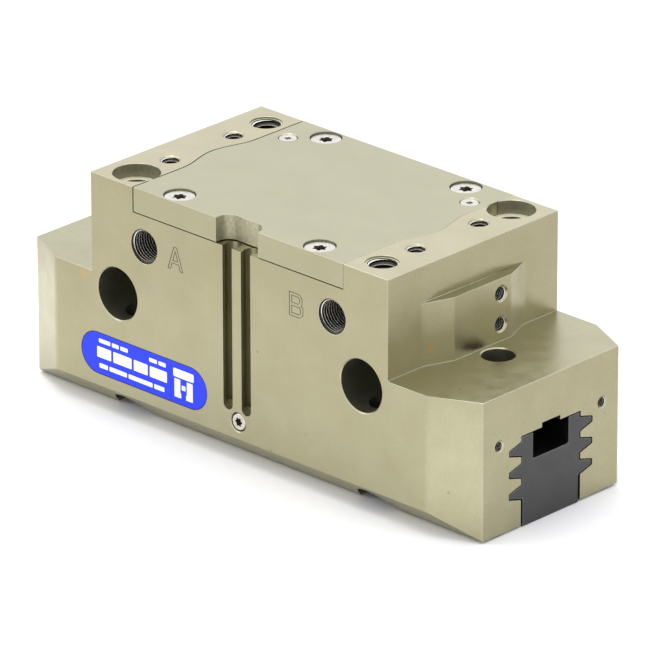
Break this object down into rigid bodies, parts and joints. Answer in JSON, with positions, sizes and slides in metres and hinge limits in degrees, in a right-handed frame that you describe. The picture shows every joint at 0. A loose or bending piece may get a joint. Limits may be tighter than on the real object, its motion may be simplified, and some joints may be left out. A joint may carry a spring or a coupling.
{
  "type": "pneumatic parallel gripper",
  "caption": "Pneumatic parallel gripper: an oval piston and wedge hook slide toothed base jaws together and apart along a stepped aluminium housing with threaded air ports.",
  "frame": {"origin": "centre of the plane of the jaw faces, under the middle of the housing", "axes": "+X along the jaw travel, towards the jaw on the side of port B; +Y from the port face to the rear face; +Z from the jaw faces up to the mounting face with the cover"},
  "size_m": [0.1632, 0.065, 0.068],
  "materials": {
    "hard_anodised_aluminium": "matt hard-anodised, champagne grey",
    "turned_aluminium": "fine turned",
    "jaw_steel": "blackened, satin",
    "ground_steel": "ground",
    "spring_steel": "oiled spring steel",
    "zinc_steel": "bright zinc plated",
    "seal_rubber": "moulded nitrile",
    "magnet": "nickel plated magnet",
    "label_film": "printed film, saturated blue with white marks"
  },
  "bodies": {
    "housing": {"housing": "hard_anodised_aluminium", "cover": "hard_anodised_aluminium", "dust_cover": "hard_anodised_aluminium", "seal_retainer": "ground_steel", "retaining_ring": "spring_steel", "sensor_stop_screw": "zinc_steel", "air_plug_left": "zinc_steel", "air_plug_right": "zinc_steel", "cover_seal": "seal_rubber", "air_plug_seal_left": "seal_rubber", "air_plug_seal_right": "seal_rubber", "rod_seal": "seal_rubber", "label": "label_film", "cover_screw_1": "zinc_steel", "dust_cover_screw_1": "zinc_steel", "cover_screw_2": "zinc_steel", "dust_cover_screw_2": "zinc_steel", "cover_screw_3": "zinc_steel", "dust_cover_screw_3": "zinc_steel", "cover_screw_4": "zinc_steel", "dust_cover_screw_4": "zinc_steel"},
    "drive": {"piston": "turned_aluminium", "piston_seal": "seal_rubber", "piston_magnet": "magnet", "piston_screw": "zinc_steel", "piston_o_ring": "seal_rubber", "wedge_hook": "ground_steel"},
    "jaw_left": {"jaw_left": "jaw_steel"},
    "jaw_right": {"jaw_right": "jaw_steel"}
  },
  "joints": [
    {"name": "piston_slide", "type": "slide", "parent": "housing", "child": "drive", "axis": [0, 0, 1], "range_m": [0, 0.01]},
    {"name": "jaw_left_slide", "type": "slide", "parent": "housing", "child": "jaw_left", "axis": [1, 0, 0], "range_m": [0, 0.013]},
    {"name": "jaw_right_slide", "type": "slide", "parent": "housing", "child": "jaw_right", "axis": [-1, 0, 0], "range_m": [0, 0.013]}
  ],
  "couplings": [
    {"joint": "jaw_left_slide", "follows": "piston_slide", "ratio": 1.3},
    {"joint": "jaw_right_slide", "follows": "piston_slide", "ratio": 1.3}
  ]
}
